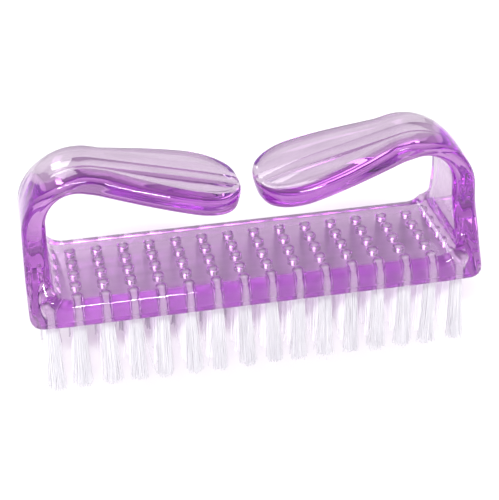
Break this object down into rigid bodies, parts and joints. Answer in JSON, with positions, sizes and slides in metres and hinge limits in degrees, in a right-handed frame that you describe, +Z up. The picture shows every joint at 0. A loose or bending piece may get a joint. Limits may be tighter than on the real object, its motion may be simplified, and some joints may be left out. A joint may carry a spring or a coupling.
{
  "type": "nail brush",
  "caption": "Clear purple acrylic nail brush: a flat base with two curled finger wings above and tufts of white nylon bristle below.",
  "frame": {"origin": "on the floor under the middle of the brush, in the plane of the bristle tips", "axes": "+X along the brush, +Y across it towards the back, +Z up from the bristle tips to the wings"},
  "size_m": [0.095, 0.029, 0.0479],
  "materials": {
    "clear_purple_plastic": "clear, tinted, polished injection moulding",
    "white_nylon": "white nylon filament, slightly translucent",
    "anchor_wire": "flat drawn wire"
  },
  "bodies": {
    "root": {"brush_body": "clear_purple_plastic", "tuft_column_01": "white_nylon", "tuft_column_02": "white_nylon", "tuft_column_03": "white_nylon", "tuft_column_04": "white_nylon", "tuft_column_05": "white_nylon", "tuft_column_06": "white_nylon", "tuft_column_07": "white_nylon", "tuft_column_08": "white_nylon", "tuft_column_09": "white_nylon", "tuft_column_10": "white_nylon", "tuft_column_11": "white_nylon", "tuft_column_12": "white_nylon", "tuft_column_13": "white_nylon", "tuft_column_14": "white_nylon", "tuft_column_15": "white_nylon", "tuft_column_16": "white_nylon", "anchor_front_01": "anchor_wire", "anchor_front_02": "anchor_wire", "anchor_front_03": "anchor_wire", "anchor_front_04": "anchor_wire", "anchor_front_05": "anchor_wire", "anchor_front_06": "anchor_wire", "anchor_front_07": "anchor_wire", "anchor_front_08": "anchor_wire", "anchor_front_09": "anchor_wire", "anchor_front_10": "anchor_wire", "anchor_front_11": "anchor_wire", "anchor_front_12": "anchor_wire", "anchor_front_13": "anchor_wire", "anchor_front_14": "anchor_wire", "anchor_front_15": "anchor_wire", "anchor_front_16": "anchor_wire", "anchor_back_01": "anchor_wire", "anchor_back_02": "anchor_wire", "anchor_back_03": "anchor_wire", "anchor_back_04": "anchor_wire", "anchor_back_05": "anchor_wire", "anchor_back_06": "anchor_wire", "anchor_back_07": "anchor_wire", "anchor_back_08": "anchor_wire", "anchor_back_09": "anchor_wire", "anchor_back_10": "anchor_wire", "anchor_back_11": "anchor_wire", "anchor_back_12": "anchor_wire", "anchor_back_13": "anchor_wire", "anchor_back_14": "anchor_wire", "anchor_back_15": "anchor_wire", "anchor_back_16": "anchor_wire"}
  },
  "joints": []
}
